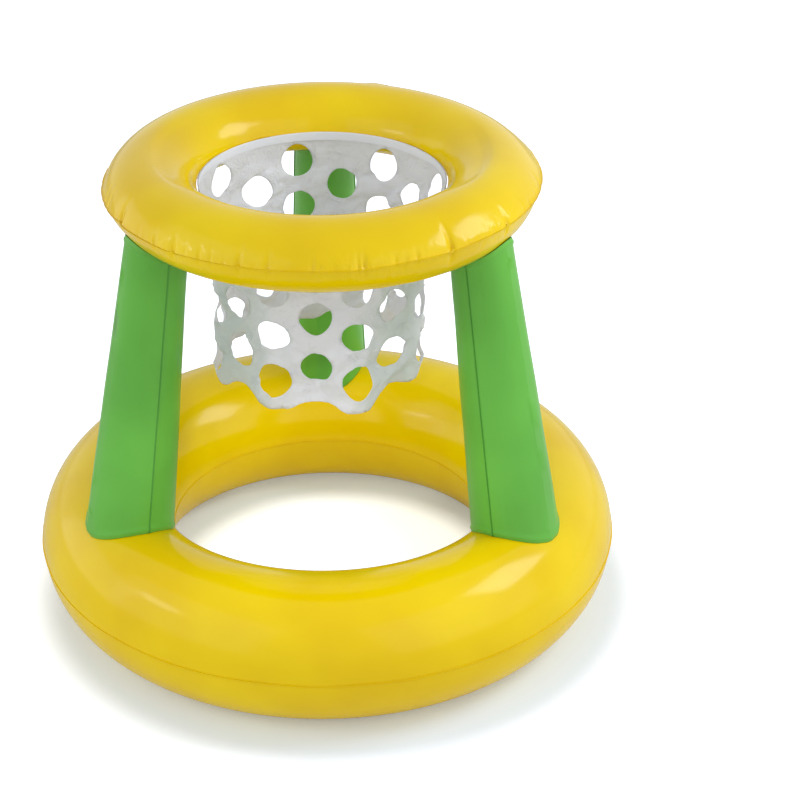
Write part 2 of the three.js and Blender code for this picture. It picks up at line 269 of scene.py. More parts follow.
def spun_ring(ring, section_steps, sector_steps, flat_below=0.0):
    """A whole ring as a bmesh in millimetres, closed and with its normals outwards."""
    loop = tube_loop(
        ring["width"], ring["height"], ring["seam_angle"], ring["lip"], section_steps, flat_below
    )
    bm = bmesh.new()
    ends = [bm.verts.new((0, -(ring["centre"] + x), ring["middle"] + y)) for x, y in loop]
    for a, b in zip(ends, ends[1:] + ends[:1]):
        bm.edges.new((a, b))
    turn = 2 * math.pi / 2**DOUBLINGS
    outline = bm.verts[:] + bm.edges[:]
    bmesh.ops.spin(bm, geom=outline, cent=(0, 0, 0), axis=(0, 0, 1), angle=turn, steps=sector_steps)
    for i in range(DOUBLINGS):
        copy = bmesh.ops.duplicate(bm, geom=bm.verts[:] + bm.edges[:] + bm.faces[:])["geom"]
        moved = [v for v in copy if isinstance(v, bmesh.types.BMVert)]
        bmesh.ops.rotate(bm, verts=moved, cent=(0, 0, 0), matrix=Matrix.Rotation(turn * 2**i, 3, "Z"))
    bmesh.ops.remove_doubles(bm, verts=bm.verts, dist=0.01)
    bmesh.ops.recalc_face_normals(bm, faces=bm.faces)
    return bm


def piece_from(name, bm, material, sharp=50.0):
    """Turns a bmesh in millimetres into a shaded object in metres."""
    mesh = bpy.data.meshes.new(name)
    bm.to_mesh(mesh)
    bm.free()
    mesh.transform(Matrix.Scale(MM, 4))
    mesh.shade_smooth()
    mesh.set_sharp_from_angle(angle=math.radians(sharp))
    mesh.materials.append(material)
    piece = bpy.data.objects.new(name, mesh)
    bpy.context.scene.collection.objects.link(piece)
    print(name, len(mesh.vertices), "points")
    return piece


# %% [markdown]
# ## Pleats at the weld
#
# A flat ring of sheet has too much edge for the shape that it takes when it is blown up, so the edge gathers
# into short pleats that cross the weld, deepest at the weld and fading up the tube. Each one is a narrow
# valley in a wide shallow one, with the sheet puffing out between. They are moved into the mesh itself, not
# painted, because they show in the outline. The large ones at the front are placed where they are on the
# real hoop, and the rest of the way round they fall at random, from a fixed seed.

# %% Pleats
PLEAT_FADE = 1.4  # how fast a pleat fades up the tube
PLEAT_WIDENING = 0.8  # how much wider it is where it ends
SHALLOW_DEPTH, SHALLOW_WIDTH = 0.4, 3.5  # the shallow valley round it, as shares of its depth and width


def front_angle(x, y):
    """Degrees round the ring from the front, positive to the right."""
    return np.degrees(np.arctan2(x, -y))


def pleat_depth(angle, rise, pleats, radius):
    """How far the pleats draw the sheet in, in millimetres. rise is the height over the weld."""
    depth = np.zeros_like(angle)
    for at, half_width, above, below, deep in pleats:
        side = radius * np.radians((angle - at + 180) % 360 - 180)
        reach = np.where(rise > 0, above, below)
        share = np.abs(rise) / reach
        width = half_width * (1 + PLEAT_WIDENING * share)
        narrow, shallow = np.exp(-((side / width) ** 2)), np.exp(-((side / (SHALLOW_WIDTH * width)) ** 2))
        depth += deep * np.clip(1 - share, 0, 1) ** PLEAT_FADE * (narrow + SHALLOW_DEPTH * shallow)
    return depth


def random_pleats(start, end, spacing, seed, scale=1.0):
    """Pleats between two angles: (angle, half width, reach above, reach below, depth)."""
    rng = np.random.default_rng(seed)
    made, at = [], start
    while at < end:
        half_width = rng.uniform(1.4, 2.6)
        above, below, deep = (rng.uniform(*ends) * scale for ends in ((12, 28), (6, 14), (0.3, 1.1)))
        made.append((at, half_width, above, below, deep))
        at += spacing * rng.uniform(0.5, 1.6)
    return made


front_pleats = [
    (-60.4, 2.6, 30, 14, 2.2),
    (-50.5, 1.8, 16, 8, 0.7),
    (-44.0, 2.0, 22, 10, 1.3),
    (-37.4, 2.2, 28, 12, 2.0),
    (-33.4, 1.6, 18, 6, 0.8),
    (-29.2, 1.9, 24, 8, 1.3),
    (-25.9, 1.7, 20, 8, 0.9),
    (-22.1, 1.7, 18, 8, 0.8),
    (-18.2, 2.2, 27, 14, 2.0),
    (-14.0, 1.5, 12, 8, 0.5),
    (-10.7, 2.1, 24, 14, 1.7),
    (0.2, 1.9, 20, 12, 1.1),
    (2.1, 1.5, 12, 14, 0.9),
    (11.4, 1.7, 26, 8, 1.4),
    (13.0, 1.8, 24, 14, 1.7),
    (20.7, 1.8, 16, 6, 1.0),
    (23.6, 1.8, 16, 6, 0.9),
    (26.5, 2.2, 20, 10, 1.5),
    (36.6, 2.4, 38, 18, 3.0),
    (45.0, 1.6, 12, 8, 0.5),
    (56.8, 2.4, 30, 14, 2.2),
]
top_pleats = front_pleats + random_pleats(66, 294, 6.0, seed=7)
base_pleats = random_pleats(0, 360, 13.0, seed=11, scale=0.6)
print("pleats:", len(top_pleats), "on the top ring,", len(base_pleats), "on the base ring")

# %% [markdown]
# ## A seat for each valve
#
# Each ring is blown up through a soft valve, welded in from below. The weld is a stiff disc, so the sheet
# lies flat there, a shallow dimple in the round tube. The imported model's joints say where each valve is: the
# valve slides along its own axis, and its plug is hinged beside it.

# %% Valve frames
joints = {joint["name"]: joint for joint in frame["record"]["behaviour"]["joints"]}
HINGE_REACH, HINGE_HEIGHT = 8.0, 1.75  # from the valve's axis and over the skin to the plug's hinge


def valve_frame(pull, hinge):
    """The matrix of a valve, in millimetres: Z out of the skin, X along the plug's hinge."""
    z = Vector(joints[pull]["axis"]).normalized()
    x = Vector(joints[hinge]["axis"]).normalized()
    y = z.cross(x)
    origin = Vector(joints[hinge]["pos_m"]) / MM + y * HINGE_REACH - z * HINGE_HEIGHT
    turn = Matrix((x, y, z)).transposed().to_4x4()
    return Matrix.Translation(origin) @ turn


valve_frames = {
    "base": valve_frame("base_valve_pull", "base_plug_hinge"),
    "top": valve_frame("top_valve_pull", "top_plug_hinge"),
}
for name, matrix in valve_frames.items():
    print(name, "valve at", [round(v, 1) for v in matrix.translation])

# %% [markdown]
# A spun ring is too even, so its points are moved along their normals. The pleats draw the sheet in, a slow
# noise lets the weld wander, and on the top ring the sheet also sags a little inside the crest, left and
# right, and its weld stands higher. Last, each valve's seat is pressed flat. Numpy does this for all points
# of a ring at once. Distances go into attributes, for the material to read.

# %% Shape the sheet of a ring
SEAT_RADIUS, SEAT_BLEND, SEAT_REACH = 11.5, 24.0, 20.0  # mm: flat, blended back, and seen from the seat
EDGE = 0.2  # mm inside the seam that still count as weld
LIP_SHARE, LIP_START, LIP_END = 0.5, 0.5, 3.0  # what a stiff lip takes of a pleat, and mm over the weld
WANDER_REACH, WANDER_DEPTH, WANDER_SIZE, DRIFT_SIZE = 14.0, 0.45, 22.0, 40.0  # mm
GATHER_REACH, PATCH_SIZE = (26.0, 14.0), 60.0  # mm up the tube from the outer and the inner weld
CREST_SAG, WRINKLE_DEPTH, WRINKLE_LENGTH, CREST_RADIUS = 4.0, 0.35, 4.4, 178  # mm


def smooth_share(value, start, end):
    """0 before start, 1 after end, and a smooth rise between."""
    t = np.clip((value - start) / (end - start), 0, 1)
    return t * t * (3 - 2 * t)


def points_of(piece):
    """A piece's points and normals as arrays, in millimetres."""
    mesh = piece.data
    co = np.empty(len(mesh.vertices) * 3)
    mesh.vertices.foreach_get("co", co)
    normals = np.empty(len(mesh.vertices) * 3)
    mesh.vertex_normals.foreach_get("vector", normals)
    return co.reshape(-1, 3) / MM, normals.reshape(-1, 3)


def set_points(piece, points):
    """Writes points in millimetres back to a piece."""
    piece.data.vertices.foreach_set("co", (points * MM).ravel())
    piece.data.update()


def set_attribute(piece, name, values):
    """Gives each point of a piece a number that its material can read."""
    layer = piece.data.attributes.new(name, "FLOAT", "POINT")
    layer.data.foreach_set("value", values.astype(np.float32))


def noise_at(points, size, seed):
    """Smooth noise from -1 to 1 for each point, with features of this size in millimetres."""
    shift = Vector((seed * 17.3, seed * 5.1, seed * 9.7))
    return np.array([noise.noise(Vector(p) / size + shift) for p in points])


def crest_bend(angle, across, rise):
    """How far the sheet sags inside the crest, left and right, with a few wrinkles on the left."""
    sides = smooth_share(np.abs(angle), 48, 70) * (1 - smooth_share(np.abs(angle), 98, 130)) * (rise > 0)
    sag = CREST_SAG * sides * smooth_share(-across, 3, 12) * (1 - smooth_share(-across, 14, 47))
    wrinkled = np.exp(-(((angle + 77) / 8.0) ** 2)) * np.exp(-(((across + 9) / 4.0) ** 2)) * (rise > 0)
    waves = np.sin(2 * np.pi * np.radians(angle) * CREST_RADIUS / WRINKLE_LENGTH)
    return sag + WRINKLE_DEPTH * wrinkled * waves


def press_seat(points, matrix):
    """Presses the sheet flat round a valve. Returns how far each point is from the valve's axis."""
    into, back = np.array(matrix.inverted()), np.array(matrix)
    flat = points @ into[:3, :3].T + into[:3, 3]
    away = np.hypot(flat[:, 0], flat[:, 1])
    near = (away < SEAT_BLEND) & (np.abs(flat[:, 2]) < SEAT_REACH)
    flat[:, 2] *= smooth_share(away, SEAT_RADIUS, SEAT_BLEND)
    points[near] = (flat @ back[:3, :3].T + back[:3, 3])[near]
    return away


def shape_ring(piece, ring, pleats, matrix, *, drift, pleat_scale, gather, weld_lift, bend, weld_shade_offset):
    """Moves the pleats, the weld's wandering and the valve's seat into a ring, and marks its weld."""
    points, normals = points_of(piece)
    across = np.hypot(points[:, 0], points[:, 1]) - ring["centre"]
    rise = points[:, 2] - ring["middle"]
    weld = np.where(np.abs(across) > ring["width"] / 2 - EDGE, 0.0, np.abs(rise))
    angle = front_angle(points[:, 0], points[:, 1])
    round_x, round_y = np.sin(np.radians(angle)), np.cos(np.radians(angle))
    outer = across > 0
    seam_radius = ring["centre"] + ring["width"] / 2
    circle = np.stack([round_x, round_y, np.zeros_like(angle)], axis=1) * seam_radius
    close = np.exp(-((rise / WANDER_REACH) ** 2))
    depth = np.where(outer, pleat_scale * pleat_depth(angle, rise, pleats, seam_radius), 0.0)
    depth *= LIP_SHARE + (1 - LIP_SHARE) * smooth_share(np.abs(rise), LIP_START, LIP_END)
    depth += WANDER_DEPTH * close * noise_at(circle, WANDER_SIZE, 3)
    depth += bend * crest_bend(angle, across, rise)
    lift = drift * close * noise_at(circle, DRIFT_SIZE, 5)
    lift += np.where(outer, close * (weld_lift[0] + weld_lift[1] * round_x), 0.0)
    points = points - normals * depth[:, None]
    points[:, 2] += lift
    away = press_seat(points, matrix)
    set_points(piece, points)
    # the offset moves the painted weld shade off the weld, so on the base ring it is fainter
    set_attribute(piece, "weld_mm", weld + weld_shade_offset)
    reach = np.where(outer, *GATHER_REACH)
    fade = np.clip(1 - np.abs(rise) / reach, 0, 1) ** 1.5 * smooth_share(away, SEAT_RADIUS, SEAT_BLEND)
    patches = smooth_share(noise_at(circle, PATCH_SIZE, 9), -0.5, 0.3)
    calm = 1 - 0.9 * smooth_share(np.abs(angle), 55, 70)
    set_attribute(piece, "gather", gather * calm * fade * np.where(outer, 0.25 + 0.75 * patches, 0.5))


print("a valve's seat is flat out to", SEAT_RADIUS, "mm")

# %% [markdown]
# ## The base ring and the top ring
#
# Both are spun, finished as pieces and then shaped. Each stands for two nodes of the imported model, its upper
# and its lower sheet, because on the real ring the sheets are one skin once they are welded.

# %% Make both rings
FLAT_BELOW = 30.0  # how wide the base ring lies flat on the ground
base_ring = piece_from(
    "base_ring", spun_ring(BASE, 56, 38, FLAT_BELOW), yellow_vinyl
)
shape_ring(
    base_ring,
    BASE,
    base_pleats,
    valve_frames["base"],
    drift=0.8,
    pleat_scale=0.6,
    gather=0.1,
    weld_lift=(0, 0),
    bend=0,
    weld_shade_offset=0.6,
)
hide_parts("base_ring_upper_skin", "base_ring_lower_skin")

top_ring = piece_from("top_ring", spun_ring(TOP, 36, 74), yellow_vinyl)
shape_ring(
    top_ring,
    TOP,
    top_pleats,
    valve_frames["top"],
    drift=1.4,
    pleat_scale=1.4,
    gather=1.0,
    weld_lift=(3.5, 3.8),
    bend=1,
    weld_shade_offset=0,
)
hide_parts("top_ring_upper_skin", "top_ring_lower_skin")

# %% [markdown]
# ## The holes for the valves
#
# A valve passes through the skin, and when its plug is open one looks down its bore. So each ring gets a
# small round hole with a wider room under it, as a stepped cutter taken away with a Boolean modifier.

# %% Cut the valve holes
BORE = 5.05  # radius of the bore in the flange, which the skin leaves open


def lathe(bm, profile, segments=48):
    """Spins a profile of (radius, height) points about Z."""
    ends = [bm.verts.new((radius, 0, height)) for radius, height in profile]
    edges = [bm.edges.new(pair) for pair in zip(ends, ends[1:])]
    bmesh.ops.spin(
        bm,
        geom=ends + edges,
        cent=(0, 0, 0),
        axis=(0, 0, 1),
        angle=2 * math.pi,
        steps=segments,
        use_merge=True,
    )
    bmesh.ops.remove_doubles(bm, verts=bm.verts, dist=1e-4)
    bmesh.ops.recalc_face_normals(bm, faces=bm.faces)


def apply_modifiers(piece):
    """Bakes a piece's modifiers into its mesh."""
    graph = bpy.context.evaluated_depsgraph_get()
    shaped = piece.evaluated_get(graph)
    mesh = bpy.data.meshes.new_from_object(shaped, preserve_all_data_layers=True, depsgraph=graph)
    piece.modifiers.clear()
    piece.data = mesh


def cut_valve_hole(piece, matrix):
    """Takes a stepped pit out of a ring, at a valve."""
    bm = bmesh.new()
    lathe(bm, [(0, 6), (BORE, 6), (BORE, -0.5), (12, -0.5), (12, -28), (0, -28)])
    bmesh.ops.transform(bm, matrix=matrix, verts=bm.verts)
    cutter = piece_from("cutter", bm, yellow_vinyl)
    modifier = piece.modifiers.new("hole", "BOOLEAN")
    modifier.operation = "DIFFERENCE"
    modifier.solver = "EXACT"
    modifier.object = cutter
    apply_modifiers(piece)
    bpy.data.objects.remove(cutter)


cut_valve_hole(base_ring, valve_frames["base"])
cut_valve_hole(top_ring, valve_frames["top"])
print("faces in the base ring:", len(base_ring.data.polygons))
for ring in (base_ring, top_ring):
    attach(ring, "hoop")

# %% [markdown]
# ## The legs
#
# Each leg is a tapering tube of two green panels, welded along both sides and leaning inwards, with its ends
# welded to the two rings. The panels meet at the welds in a clear edge, so the same section serves as for
# the rings. A plain cylinder without caps gives the faces, and each of its columns is laid along a straight
# line from the lower section to the upper one. The line is cut where it meets the rings, found by halving.

# %% Where a leg's line meets a ring
FOOT_LEVEL, HEAD_LEVEL = 162.0, 474.0
FOOT_CENTRE, HEAD_CENTRE = 246.0, 198.25
FOOT_WIDTH, HEAD_WIDTH = 98.0, 69.0
LEG_SEAM_ANGLE, LEG_LIP, LEG_STEPS = 5.0, 1.2, 36
SKIN_GAP = 0.3  # what is left between two welded sheets


def outside_of(ring, point):
    """Above 0 where a point is outside a ring's tube, below 0 inside it."""
    seam = math.radians(ring["seam_angle"])
    across = (ring["width"] / 2 + SKIN_GAP) / math.cos(seam)
    up = (ring["height"] / 2 + SKIN_GAP) / (1 - math.sin(seam))
    x = (math.hypot(point.x, point.y) - ring["centre"]) / across
    y = abs(point.z - ring["middle"]) / up + math.sin(seam)
    return x * x + y * y - 1


def meeting(ring, inside, outside):
    """The point between two others where a straight line enters the ring's tube."""
    for _ in range(40):
        halfway = (inside + outside) / 2
        if outside_of(ring, halfway) > 0:
            outside = halfway
        else:
            inside = halfway
    return outside


def leg_share(level):
    """How far up a leg a level is, from 0 at its foot to 1 at its head."""
    return (level - FOOT_LEVEL) / (HEAD_LEVEL - FOOT_LEVEL)


def leg_centre(level):
    """How far the middle of a leg is from the hoop's axis, at a level."""
    return FOOT_CENTRE + (HEAD_CENTRE - FOOT_CENTRE) * leg_share(level)


def leg_section(level, narrow):
    """A leg's section at a level, as points with X away from the hoop's axis and Y along its tangent."""
    width = narrow * (FOOT_WIDTH + (HEAD_WIDTH - FOOT_WIDTH) * leg_share(level))
    loop = tube_loop(width, width, LEG_SEAM_ANGLE, LEG_LIP, LEG_STEPS)
    return [Vector((leg_centre(level) + y, -x, level)) for x, y in loop]


print("a leg leans inwards by", FOOT_CENTRE - HEAD_CENTRE, "mm")

# %% [markdown]
# The cylinder's rows crowd near both rings, because the leg is pinched in there. Each point also notes its
# distance from a side weld, for the material's dark line, which is partly painted shade, and from the nearer
# end, for the pinch.

# %% Draw a leg
LEG_ROWS, LEG_CROWDING = 44, 0.85  # rows of faces, and how strongly they crowd near both rings


def leg_bmesh(narrow):
    """A leg on the +X side, in millimetres, with each point's distance from a side weld and from an end."""
    low, high = (leg_section(ring["middle"], narrow) for ring in (BASE, TOP))
    middle = leg_section((FOOT_LEVEL + HEAD_LEVEL) / 2, narrow)
    starts = [meeting(BASE, a, b) for a, b in zip(low, middle)]
    ends = [meeting(TOP, a, b) for a, b in zip(high, middle)]
    bm = bmesh.new()
    bmesh.ops.create_cone(bm, cap_ends=False, segments=len(low), radius1=1, radius2=1, depth=1)
    upright = [e for e in bm.edges if abs(e.verts[0].co.z - e.verts[1].co.z) > 0.5]
    bmesh.ops.subdivide_edges(bm, edges=upright, cuts=LEG_ROWS - 1)
    weld_layer = bm.verts.layers.float.new("weld_mm")
    end_layer = bm.verts.layers.float.new("end_mm")
    for v in bm.verts:
        column = round(math.atan2(v.co.y, v.co.x) / (2 * math.pi) * len(low)) % len(low)
        share = crowd_ends(v.co.z + 0.5, LEG_CROWDING)
        a, b = starts[column], ends[column]
        v.co = a.lerp(b, share)
        v[end_layer] = min(share, 1 - share) * (b - a).length
        v[weld_layer] = max(abs(v.co.x - leg_centre(v.co.z)) - LAP, 0)
    bmesh.ops.recalc_face_normals(bm, faces=bm.faces)
    return bm


print("points round a leg:", len(leg_section(FOOT_LEVEL, 1.0)))

# %% [markdown]
# The green sheet is duller than the yellow one and its waves are wider, so it gives the eye soft bands of
# light instead of sharp windows. Where a leg is welded to the rings it is pinched in, and a slow noise makes
# the rest of it a little uneven. The rear leg stands a little off the middle and is slightly narrower.

# %% Make the legs
PINCH_DEPTH, PINCH_PLACE, PINCH_REACH = 1.3, 5.0, 2.2  # mm, the place counted from an end
UNEVEN_DEPTH, UNEVEN_SIZE = 0.9, 45.0  # mm
SHEET = 0.3  # mm, the thickness of a leg's panel and of the net's film
LEGS = (  # name, degrees from +X, share of the full width, seed of its noise
    ("rear", 92.4, 0.95, 21),
    ("left", 210, 1.0, 22),
    ("right", 330, 1.0, 23),
)
# as on the yellow, the darker weld colour is partly painted shade along the seam
green_vinyl = vinyl_sheet(
    "calendered_green_vinyl", "6DC04C", "63B145", "2F6B2A", 0.5, 0.3, wave=24.0, wave_height=0.09
)


def thicken(piece):
    """Gives a piece of single faces the thickness of sheet, inwards."""
    sheet = piece.modifiers.new("sheet", "SOLIDIFY")
    sheet.thickness = SHEET * MM
    sheet.offset = -1
    apply_modifiers(piece)


def make_leg(name, degrees, narrow, seed):
    """One leg, turned to its place, pinched at its end welds and a little uneven."""
    bm = leg_bmesh(narrow)
    turn = Matrix.Rotation(math.radians(degrees), 3, "Z")
    bmesh.ops.rotate(bm, verts=bm.verts, cent=(0, 0, 0), matrix=turn)
    leg = piece_from(name, bm, green_vinyl, sharp=60)
    points, normals = points_of(leg)
    end = np.empty(len(points), dtype=np.float32)
    leg.data.attributes["end_mm"].data.foreach_get("value", end)
    pinch = PINCH_DEPTH * np.exp(-(((end - PINCH_PLACE) / PINCH_REACH) ** 2))
    uneven = UNEVEN_DEPTH * noise_at(points * [1, 1, 0.5], UNEVEN_SIZE, seed) * smooth_share(end, 2, 40)
    set_points(leg, points - normals * (pinch - uneven)[:, None])
    thicken(leg)
    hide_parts(f"{name}_outer_panel", f"{name}_inner_panel")
    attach(leg, "hoop")


for side, degrees, narrow, seed in LEGS:
    make_leg(f"{side}_leg", degrees, narrow, seed)

# %% [markdown]
# ## White vinyl
#
# The net is a softer, thinner white sheet. It isn't as glossy, and light passes through it a little, so the
# far side glows and picks up the colours around it. A Translucent shader mixed into the Principled one gives
# that. Such sheet keeps fine crinkles from being folded in its box. Those are two bumps: soft folds from a
# noise, and the facets of a Voronoi texture. Its place is multiplied by that noise's colour first, which
# stretches and bends the facets differently everywhere.

# %% Net and collar materials
TINT_SIZE, FOLD_SIZE, FACET_SIZE = 60, 13, 30  # mm, the facets' before they are stretched
FACET_SHIFT = (0.006, 0.006, 0.006)  # metres by which the facets are moved as a whole
FACET_DEPTH = 2.2  # times the depth of the folds


def white_sheet(name, colour, shade, through, share, roughness, crinkle):
    """Thin white sheet that lets a share of the light through, with folds of a depth in millimetres."""
    made, tree, shader = new_material(name)
    place = add_node(tree, "TexCoord").outputs["Object"]
    tint = mixed(tree, noise_texture(tree, place, TINT_SIZE, 3.0), linear(colour), linear(shade))
    tree.links.new(tint, shader.inputs["Base Color"])
    shader.inputs["Roughness"].default_value = roughness
    shader.inputs["IOR"].default_value = VINYL_IOR
    folds = add_node(
        tree, "TexNoise", {"Vector": place, "Scale": per_metre(FOLD_SIZE), "Detail": 1.0, "Distortion": 0.6}
    )
    bent = add_node(
        tree,
        "VectorMath",
        {0: place, 1: folds.outputs["Color"], 2: FACET_SHIFT},
        operation="MULTIPLY_ADD",
    )
    facets = add_node(tree, "TexVoronoi", {"Vector": bent.outputs["Vector"], "Scale": per_metre(FACET_SIZE)})
    normal = bumped(tree, facets.outputs["Distance"], FACET_DEPTH * crinkle)
    normal = bumped(tree, folds.outputs["Fac"], crinkle, normal)
    tree.links.new(normal, shader.inputs["Normal"])
    glow = add_node(tree, "BsdfTranslucent", {"Color": linear(through)})
    both = add_node(tree, "MixShader", {0: share, 1: shader.outputs["BSDF"], 2: glow.outputs["BSDF"]})
    tree.links.new(both.outputs["Shader"], tree.nodes["Material Output"].inputs["Surface"])
    return made


net_vinyl = white_sheet("soft_white_vinyl_film", "F8FAFF", "EDF0F8", "F1F4FB", 0.27, 0.42, 0.3)
collar_vinyl = white_sheet("white_vinyl_welding_band", "F2F6FF", "EDF2FF", "F4F5F8", 0.04, 0.35, 0.03)
print("made", net_vinyl.name, "and", collar_vinyl.name)

# %% [markdown]
# ## The net
#
# The net is one strip of sheet with seven staggered rows of punched holes, joined round and welded to the
# collar, and its lower edge is cut in waves. It is drawn flat first. One cell holds one hole: a circle and a
# rhombus with equally many points, joined point to point, with a few more rings of faces between them. The
# faces are made one by one, because a bridge between the loops may pair their points differently each time.
# Copies fill the strip edge to edge, and half rhombi without holes close its upper and lower edges. Then
# every point is carried from the flat strip to its place round the hoop.

# %% Net sizes
HOLE_RADIUS = 18.0
COLUMNS, ROWS = 16, 7
ROW_PITCH = 27.5
HANG_RADIUS = 118.0
COLUMN_PITCH = 2 * math.pi * HANG_RADIUS / COLUMNS
NET_TOP, COLLAR_HEIGHT = 513.0, 9.5
NET_TOP_RADIUS = 135.2
WAIST_DEPTH = 110.0  # how far below the collar the net has drawn in


def drawn_in(level):
    """How far the net has drawn in at a level, from 0 under the collar to 1 where it hangs straight."""
    return smooth_share(NET_TOP - COLLAR_HEIGHT - level, 0, WAIST_DEPTH)


def net_radius(level):
    """The net's radius at a level, without its folds."""
    return NET_TOP_RADIUS + (HANG_RADIUS - NET_TOP_RADIUS) * drawn_in(level)


print("holes in the net:", COLUMNS * ROWS // 2)

# %% Draw the net flat
SIDE_POINTS, CELL_RINGS = 14, 4  # points along a cell's side, and rings of points between it and the hole


def cell(bm, column, row):
    """One rhombus of the flat strip with a hole in it. X and Y count columns and rows, Y downwards."""
    count = 4 * SIDE_POINTS
    hole, sides = (bmesh.ops.create_circle(bm, segments=count, radius=1)["verts"] for _ in range(2))
    level = NET_TOP - (row + 1) * ROW_PITCH
    wide = HOLE_RADIUS / COLUMN_PITCH * HANG_RADIUS / net_radius(level)
    high = HOLE_RADIUS / ROW_PITCH
    for v in hole:
        v.co = Vector((column + wide * v.co.x, row + high * v.co.y, 0))
    for v in sides:
        quarters = math.atan2(v.co.y, v.co.x) / (math.pi / 2) % 4 + 1e-6
        corner, share = int(quarters) % 4, quarters % 1
        a, b = (Matrix.Rotation(k * math.pi / 2, 2) @ Vector((1, 0)) for k in (corner, corner + 1))
        spot = a.lerp(b, round(share * SIDE_POINTS) / SIDE_POINTS)
        v.co = Vector((column + spot.x, row + spot.y, 0))
    spokes = [bm.edges.new(pair) for pair in zip(hole, sides)]
    for i in range(count):
        j = (i + 1) % count
        bm.faces.new((hole[i], sides[i], sides[j], hole[j]))
    bmesh.ops.subdivide_edges(bm, edges=spokes, cuts=CELL_RINGS)


def half_cell(bm, column, row, keep_above):
    """The upper or lower half of a rhombus without a hole."""
    grid = bmesh.ops.create_grid(bm, x_segments=SIDE_POINTS, y_segments=SIDE_POINTS, size=0.5)["verts"]
    for v in grid:
        x, y = v.co.x, v.co.y
        v.co = Vector((column + x - y, row + x + y, 0))
    faces = list(dict.fromkeys(f for v in grid for f in v.link_faces))
    edges = list(dict.fromkeys(e for v in grid for e in v.link_edges))
    bmesh.ops.bisect_plane(
        bm,
        geom=grid + edges + faces,
        dist=1e-5,
        plane_co=(column, row, 0),
        plane_no=(0, 1, 0),
        clear_outer=keep_above,
        clear_inner=not keep_above,
    )


net_bm = bmesh.new()
for row in range(ROWS):
    for column in range(row % 2, COLUMNS, 2):
        cell(net_bm, column, row)
for column in range(1, COLUMNS, 2):
    half_cell(net_bm, column, -1, keep_above=False)
    half_cell(net_bm, column, ROWS, keep_above=True)
print("flat net:", len(net_bm.faces), "faces")

# %% [markdown]
# Hung up, the strip closes into a tube. It starts at the collar's width, draws in, and falls in eight soft
# folds, because the wavy lower edge is heavier under every second column. Thin sheet never hangs as evenly
# as that. In front, every other column of holes hangs lower. Right of the front the sheet bunches up, on the
# right its hem is lifted, and the whole net leans a little to the left. A noise pulls the holes out of round,
# and a ridged noise, folded at its middle value, gives the creases that run between them.

# %% How the net falls
FIRST_COLUMN = math.radians(18.0)  # from +X
TWIST = math.radians(2.75)  # how far the strip is pulled round at the front and, the other way, at the rear
BUNCH_PLACE, BUNCH_WIDTH, BUNCH_SHIFT = -24.0, 16.0, math.radians(10)  # degrees from +X, and the turn
LIFT_PLACE, LIFT_WIDTH, LIFT = 8.0, 28.0, 34.0  # degrees from +X, and mm
NET_LENGTH, SCALLOP, HEM_DROP = 222.0, 8.0, 1.5
LOBE_EDGE = 1.8  # the higher, the squarer the waves of the lower edge
REAR_SAG, SIDE_PULL, HEM_PULL = 6.0, 2.8, 3.5  # mm down, and mm inwards at the sides and at the hem
LEAN = 5.5  # the net hangs this far towards -X of the rim
FOLD_DEPTH = 5.0
PULL, PULL_SIZE = 4.0, 38.0  # mm by which holes are pulled out of round, and the size of that noise
SLACK, SLACK_SIZE = 8.0, 52.0
CREASE, CREASE_SIZE = 3.8, 30.0  # the fine creases have half of both
NET_SEED = 1795888977
noise.seed_set(NET_SEED)  # otherwise Blender seeds its vector noise by the clock, and no two nets are alike


def ridge(value):
    """Noise folded at its middle, so that it has creases there."""
    return 1 - 2 * abs(value)


def near(turn, centre, width):
    """1 at an angle given in degrees, and less the further a turn is from it."""
    away = (math.degrees(turn) - centre + 180) % 360 - 180
    return math.exp(-((away / width) ** 2))


def row_shift(row, lobe):
    """How far the sheet in front stands above its even place: every other column of holes hangs lower."""
    raised = 5.0 * (1 + lobe) / 2 * math.exp(-(((row - 5.2) / 1.6) ** 2))
    lowered = 8.0 * (1 - lobe) / 2 * math.exp(-(((row - 5.0) / 1.2) ** 2))
    return raised - lowered


def crease_depth(spot, down):
    """How far the creases move the sheet outwards. They run at a slant and start below the collar."""
    tilted = Vector((spot.x + spot.z * 0.6, spot.y - spot.z * 0.4, spot.z * 0.7))
    coarse, fine = noise.noise(tilted / CREASE_SIZE), noise.noise(tilted.yzx / (CREASE_SIZE / 2))
    return min(1.0, down / 1.4) ** 1.5 * CREASE * (ridge(coarse) + ridge(fine) / 2 - 1)


